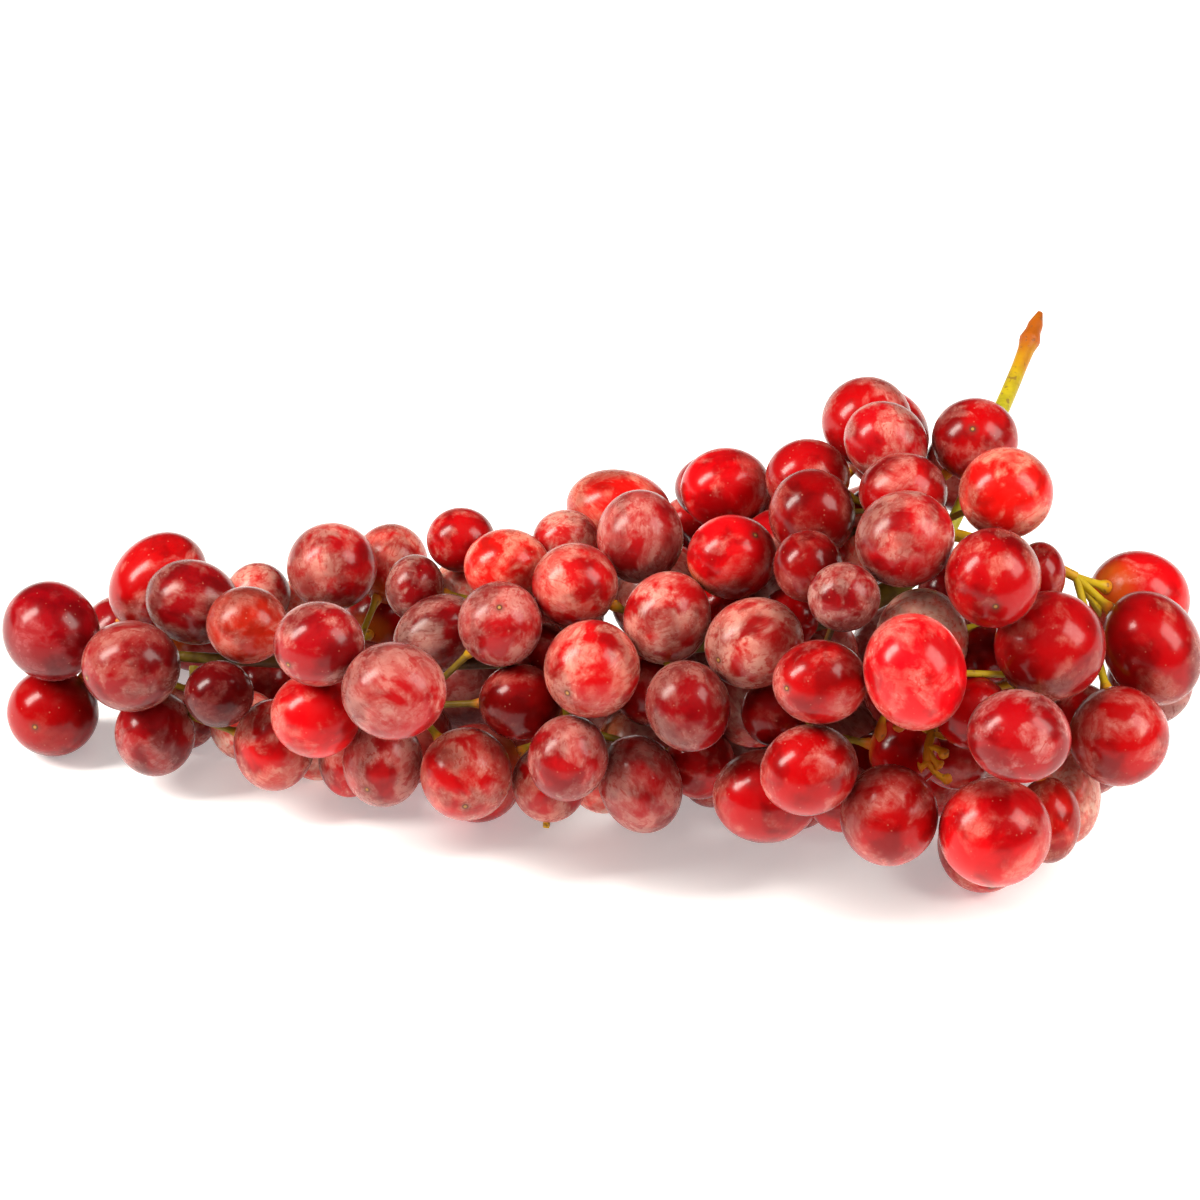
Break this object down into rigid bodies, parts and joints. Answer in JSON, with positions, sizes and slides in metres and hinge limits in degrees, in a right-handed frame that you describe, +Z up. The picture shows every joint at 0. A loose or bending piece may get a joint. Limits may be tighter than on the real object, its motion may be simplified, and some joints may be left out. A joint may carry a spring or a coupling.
{
  "type": "bunch of grapes",
  "caption": "Long conical bunch of red table grapes lying on its side, bloomed oval berries on branching stalks, with its cut stem end raised.",
  "frame": {"origin": "middle of the footprint of the whole lying bunch, on the surface it rests on", "axes": "+X along the bunch from its tip to its stem end, +Y away from the picture's camera, +Z up"},
  "size_m": [0.2346, 0.1265, 0.086],
  "materials": {
    "berry_skin": "thin red skin with a pale waxy bloom, rubbed glossy in patches",
    "stem": "fresh yellow-green stalk, browning at its nodes and its cut end"
  },
  "bodies": {
    "root": {"main_stem": "stem", "spray_01": "berry_skin", "spray_02": "berry_skin", "spray_03": "berry_skin", "spray_04": "berry_skin", "spray_05": "berry_skin", "spray_06": "berry_skin", "spray_07": "berry_skin", "spray_08": "berry_skin", "spray_09": "berry_skin", "spray_10": "berry_skin", "spray_11": "berry_skin", "spray_12": "berry_skin", "spray_13": "berry_skin", "wing_spray": "berry_skin"}
  },
  "joints": []
}
